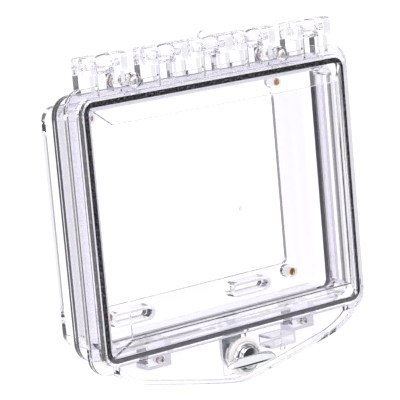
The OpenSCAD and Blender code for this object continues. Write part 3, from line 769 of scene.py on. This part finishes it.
# %% Lock body
profile = [(5.1, 45.0), (7.3, 45.0), (7.3, 54.5), (10.9, 54.5), (11.2, 54.8), (11.2, 56.7),
           (10.9, 57.2), (10.4, 57.5), (9.9, 57.45), (9.5, 57.2), (9.2, 56.6), (8.8, 56.05),
           (8.2, 55.9), (5.1, 55.9), (5.1, 45.0)]
body = turned("lock_body_turned", profile, 0, LOCK_Z, steps=72)
barrel = thread("barrel", 0, LOCK_Z, 39.2, 54.4, 7.35, 8.0, 1.2, steps=48)
body = joined(body, barrel)
bpy.ops.object.shade_smooth_by_angle(angle=math.radians(32))
piece(body, chrome, "cover", "chrome", "lock_body")

# %% Lock nut
deselect()
bpy.ops.mesh.primitive_cylinder_add(
    vertices=6, radius=0.0127, depth=0.004, location=at(0, 48, LOCK_Z),
    rotation=(math.radians(90), math.radians(30), 0))
nut = bpy.context.object
nut.name = "hexagon_nut"
bpy.ops.object.transform_apply(location=True, rotation=True, scale=True)
bpy.ops.object.mode_set(mode="EDIT")
bpy.ops.mesh.select_all(action="SELECT")
bpy.ops.mesh.bevel(offset=0.0004, segments=2, affect="EDGES")
nut = flat_faces(closed(30))
deselect()
bpy.ops.mesh.primitive_cylinder_add(
    vertices=64, radius=0.00805, depth=0.01, location=at(0, 48, LOCK_Z),
    rotation=(math.radians(90), 0, 0))
nut = carved(nut, bpy.context.object)
piece(nut, steel, "cover", "chrome", "lock_nut")

# %% [markdown]
# ## Handle
# The handle is a die-cast T: a round hub that stands in the dish, and a wing across it that two
# fingers can turn. The wing's front isn't square to the axis. It slopes down to a narrow ridge
# near its lower edge, so it catches the light from above along its whole length, and only the
# ridge reflects the dark patch. Its ends are narrower than its middle and rounded.

# %% Handle
profile = [(0, 56.25), (6.9, 56.25), (7.3, 56.5), (7.3, 57.1), (7.0, 57.4), (7.0, 57.7),
           (7.5, 58.1), (7.5, 60.3), (7.2, 60.7), (6.8, 60.8), (0, 60.8)]
hub = turned("t_handle", profile, 0, LOCK_Z, steps=64)
# the wing's section, from its back low edge over the ridge and the two slopes to its back top
SECTION = [(59.6, -4.3), (64.8, -4.3), (65.25, -4.1), (65.4, -3.8), (65.4, -2.6), (64.9, -2.1),
           (63.9, -0.3), (63.5, 0.2), (60.2, 2.3), (59.6, 2.4)]
# each step towards a tip: how far out in mm, and how tall and how deep the section is there
STEPS = ((7.5, 1.0, 1.0), (11.5, 0.95, 0.97), (15.0, 0.90, 0.94), (18.0, 0.84, 0.90),
         (19.8, 0.76, 0.84), (20.7, 0.66, 0.74), (21.0, 0.60, 0.68))
wing = one_vertex("wing", at(-0.5, SECTION[0][0], LOCK_Z + SECTION[0][1]))
for (d0, z0), (d1, z1) in zip(SECTION, SECTION[1:]):
    bpy.ops.mesh.extrude_region_move(TRANSFORM_OT_translate={"value": at(0, d1 - d0, z1 - z0)})
bpy.ops.mesh.select_all(action="SELECT")
bpy.ops.mesh.edge_face_add()
for side in (1, -1):
    # each half is drawn out in short steps, and gets narrower and rounder towards its tip
    wing.update_from_editmode()
    bpy.ops.mesh.select_all(action="DESELECT")
    bpy.ops.mesh.select_mode(type="FACE")
    bpy.ops.object.mode_set(mode="OBJECT")
    for face in wing.data.polygons:
        face.select = abs(face.normal.x) > 0.9 and face.center.x < 0.0005
    bpy.ops.object.mode_set(mode="EDIT")
    x = -0.5
    for reach, tall, deep in STEPS:
        bpy.ops.mesh.extrude_region_move(
            TRANSFORM_OT_translate={"value": at(side * reach - x, 0, 0)})
        bpy.ops.transform.resize(value=(1, deep, tall), center_override=at(0, 60.4, LOCK_Z - 2.6))
        x = side * reach
wing = closed(22)
handle = joined(hub, wing)
piece(handle, chrome, "lock_rotor", "chrome", "lock_handle")

# %% [markdown]
# ## Cam and its screw
# The cam is stamped from thick sheet and then zinc plated. Its shape is the constructed one.
# A stamped edge is rounded on one side, which a bevel gives to the node as it stands. The
# spindle behind it is hidden, and gets the same bright steel as the screws. The cam is held by
# a low round screw with a hexagon socket.

# %% Cam
soften(dress("lock_cam", zinc), 0.5, segments=3)
soften(dress("lock_spindle", steel), 0.3)
low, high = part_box("cam_screw")
back = -high.y * 1000
profile = [(0, back), (1.4, back + 0.03), (2.6, back + 0.25), (3.5, back + 0.8),
           (4.0, back + 1.6), (4.0, 35.5), (3.8, 35.8), (0, 35.8)]
head = turned("cam_button_screw", profile, 0, LOCK_Z)
deselect()
bpy.ops.mesh.primitive_cylinder_add(
    vertices=6, radius=0.0015, depth=0.0026, location=at(0, back + 0.2, LOCK_Z),
    rotation=(math.radians(90), 0, 0))
head = carved(head, bpy.context.object)
shank = thread("cam_shank", 0, LOCK_Z, 35.9, 44.8, 1.6, 2.0, 0.8)
head = joined(head, shank)
bpy.ops.object.shade_smooth_by_angle(angle=math.radians(35))
piece(head, steel, "lock_rotor", "screw_steel", "cam_screw")

# %% [markdown]
# ## Tool marks in the plastic
# An ejector left a ring on the frame beside the lock, four tenths of a millimetre high, and the
# point where the plastic was let into the mould left a small round stub on the inside of the
# window. Both are turned from the same clear plastic.

# %% Tool marks
profile = [(1.7, 42.0), (2.7, 42.0), (2.7, 42.25), (2.55, 42.4), (1.85, 42.4), (1.7, 42.25),
           (1.7, 42.0)]
ejector = turned("ejector_ring", profile, 43.5, -111.5, steps=32)
piece(ejector, clear, "base", "clear_plastic")
profile = [(0, 58.6), (1.3, 58.6), (1.5, 58.2), (1.3, 57.9), (0.7, 57.8), (0.4, 58.1), (0, 58.1)]
gate = turned("gate_mark", profile, 3.6, -1.3, steps=32)
piece(gate, clear, "cover", "clear_plastic")

# %% [markdown]
# ## Finish
# The Standard view shows colours as they were written.

# %% Finish
bpy.context.scene.view_settings.view_transform = "Standard"
